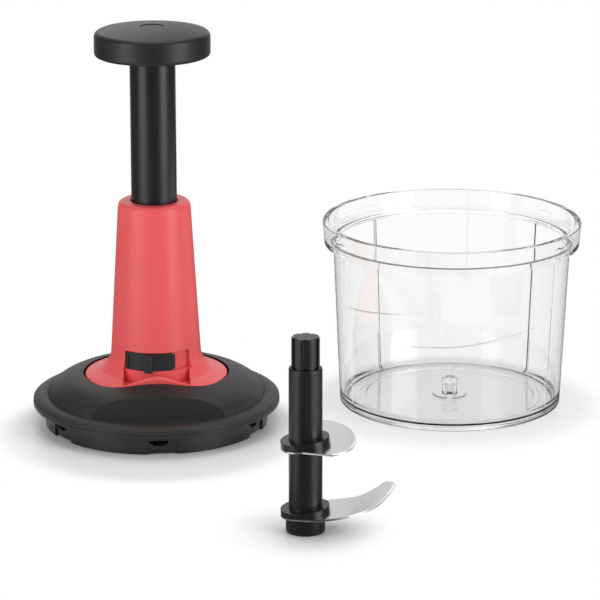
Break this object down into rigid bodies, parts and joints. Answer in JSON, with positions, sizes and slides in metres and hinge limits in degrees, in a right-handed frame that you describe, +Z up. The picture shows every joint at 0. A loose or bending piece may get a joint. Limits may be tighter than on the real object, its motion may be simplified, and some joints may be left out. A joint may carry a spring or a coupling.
{
  "type": "plunger food chopper",
  "caption": "Hand food chopper taken apart: pump drive unit with lid and press knob, bladed spindle and clear bowl with a pivot pin.",
  "frame": {"origin": "centre of the bowl's foot ring, on the table that all three pieces stand on", "axes": "+Z up, along the bowl's axis; -Y towards the front, where the drive unit has its lock slider; +X along the row from the drive unit to the bowl"},
  "size_m": [0.2954, 0.3034, 0.2154],
  "materials": {
    "clear_plastic": "clear, polished",
    "red_plastic": "satin coral red",
    "black_plastic": "fine satin",
    "white_acetal": "natural acetal",
    "blade_steel": "brushed, ground edge",
    "drive_steel": "plain drawn steel",
    "screw_steel": "zinc plated",
    "bush_brass": "turned"
  },
  "bodies": {
    "bowl": {"bowl": "clear_plastic"},
    "drive_housing": {"lid_base": "black_plastic", "lid_dome": "black_plastic", "tower_shell": "red_plastic", "tower_screws": "screw_steel", "guide_bush": "white_acetal", "clutch_cover": "white_acetal", "cover_screws": "screw_steel"},
    "plunger": {"plunger_tube": "black_plastic", "stop_collar": "white_acetal", "drive_nut": "white_acetal", "press_knob": "black_plastic", "knob_base": "black_plastic", "knob_screw": "screw_steel", "knob_cap": "black_plastic", "return_spring": "drive_steel"},
    "drive_screw": {"drive_screw": "drive_steel", "thrust_washer": "drive_steel"},
    "output_socket": {"output_socket": "white_acetal"},
    "lock": {"lock_slider": "black_plastic", "lock_ring": "white_acetal"},
    "spindle_pivot": {"pivot_bush": "bush_brass"},
    "blade_unit": {"spindle_core": "black_plastic", "spindle_foot": "black_plastic", "lower_blade": "blade_steel", "middle_sleeve": "black_plastic", "upper_blade": "blade_steel", "upper_sleeve": "black_plastic"}
  },
  "joints": [
    {"name": "drive_unit_lift", "type": "slide", "parent": "bowl", "child": "drive_housing", "axis": [0, 0, 1], "range_m": [0, 0.15]},
    {"name": "plunger_press", "type": "slide", "parent": "drive_housing", "child": "plunger", "axis": [0, 0, -1], "range_m": [0, 0.07], "stiffness_N_per_m": 200, "springref_m": -0.02, "deforming": ["return_spring"]},
    {"name": "screw_spin", "type": "hinge", "parent": "drive_housing", "child": "drive_screw", "pos_m": [-0.1594, -0.0386, 0.03], "axis": [0, 0, 1], "range_deg": [-635, 0]},
    {"name": "socket_spin", "type": "hinge", "parent": "drive_housing", "child": "output_socket", "pos_m": [-0.1594, -0.0386, 0.02], "axis": [0, 0, 1], "range_deg": [-635, 0]},
    {"name": "lock_turn", "type": "hinge", "parent": "drive_housing", "child": "lock", "pos_m": [-0.1594, -0.0386, 0.04], "axis": [0, 0, 1], "range_deg": [0, 21.8]},
    {"name": "spindle_lift", "type": "slide", "parent": "bowl", "child": "spindle_pivot", "axis": [0, 0, 1], "range_m": [0, 0.15]},
    {"name": "blade_spin", "type": "hinge", "parent": "spindle_pivot", "child": "blade_unit", "pos_m": [-0.0796, -0.2122, 0.005], "axis": [0, 0, 1], "continuous": true}
  ],
  "couplings": [
    {"joint": "screw_spin", "follows": "plunger_press", "rad_per_m": -157.08},
    {"joint": "socket_spin", "follows": "plunger_press", "rad_per_m": -157.08}
  ]
}
